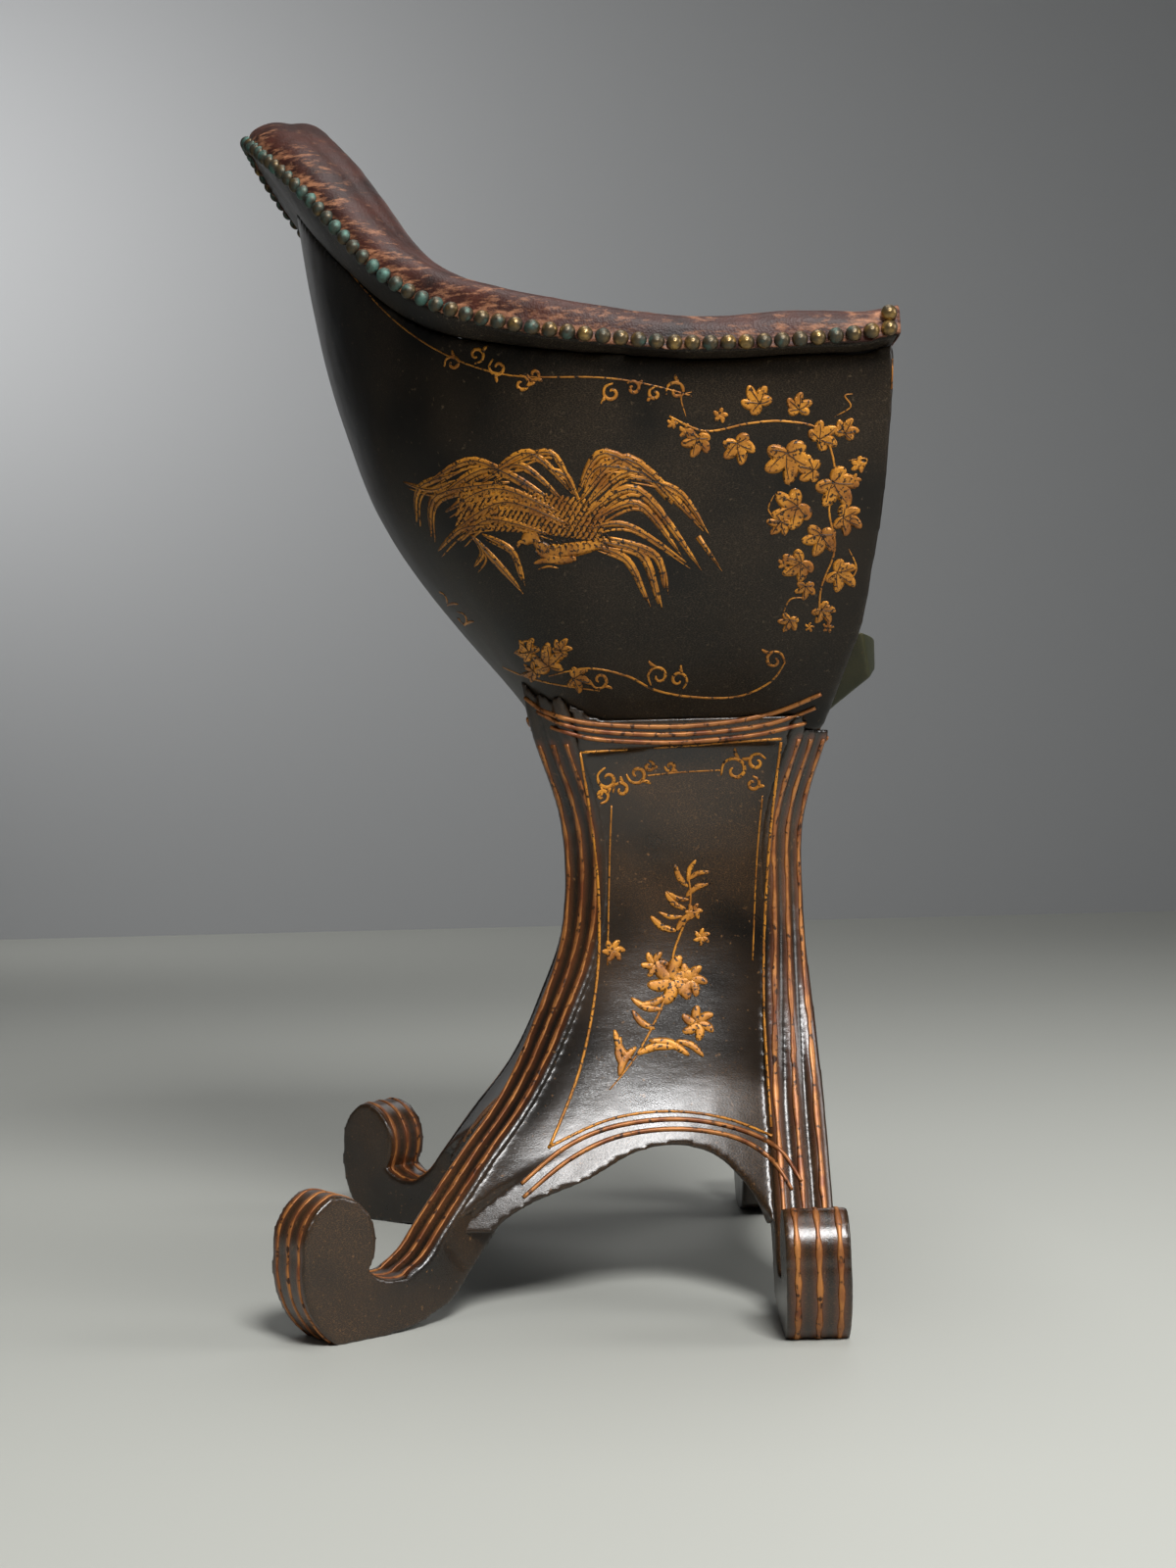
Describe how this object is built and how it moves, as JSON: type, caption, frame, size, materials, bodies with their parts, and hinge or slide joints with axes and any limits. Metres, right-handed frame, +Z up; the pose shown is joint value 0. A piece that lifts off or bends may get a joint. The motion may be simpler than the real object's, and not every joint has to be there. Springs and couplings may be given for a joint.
{
  "type": "armchair",
  "caption": "Gondola armchair: a lacquered bowl-shaped tub with a padded leather rim and seat, on a waisted pedestal of arched panels and scroll-footed legs.",
  "frame": {"origin": "on the floor under the middle of the chair's bounding box", "axes": "+X the way the sitter faces, +Y the sitter's left, +Z up"},
  "size_m": [0.4948, 0.5532, 0.922],
  "materials": {
    "lacquer": "aged black-brown lacquer, satin",
    "green_paint": "worn olive paint",
    "beech": "bare, darkened",
    "leather": "worn, scuffed",
    "stuffing": "horsehair and wadding",
    "webbing": "woven jute",
    "brass": "domed, with green tarnish",
    "steel": "dull"
  },
  "bodies": {
    "root": {"arm_rail_left": "lacquer", "arm_rail_right": "lacquer", "crest_rail": "lacquer", "deck_board": "beech", "deck_screws": "steel", "glue_block_back": "beech", "glue_block_front": "beech", "glue_block_left": "beech", "glue_block_right": "beech", "inside_leather": "leather", "inside_padding": "stuffing", "leg_front_left": "lacquer", "leg_front_right": "lacquer", "leg_rear_left": "lacquer", "leg_rear_right": "lacquer", "moulding_back": "lacquer", "moulding_front": "lacquer", "moulding_left": "lacquer", "moulding_right": "lacquer", "panel_back": "lacquer", "panel_front": "lacquer", "panel_left": "lacquer", "panel_right": "lacquer", "rim_leather": "leather", "rim_nails": "brass", "rim_stuffing": "stuffing", "seat_apron": "green_paint", "seat_leather": "leather", "seat_rail_back": "beech", "seat_rail_front": "beech", "seat_rail_left": "beech", "seat_rail_right": "beech", "seat_stuffing": "stuffing", "seat_webbing": "webbing", "tub_arm_board_left": "lacquer", "tub_arm_board_right": "lacquer", "tub_back_board": "lacquer", "tub_floor": "beech", "tub_quarter_board_left": "lacquer", "tub_quarter_board_right": "lacquer", "tub_side_board_left": "lacquer", "tub_side_board_right": "lacquer"}
  },
  "joints": []
}
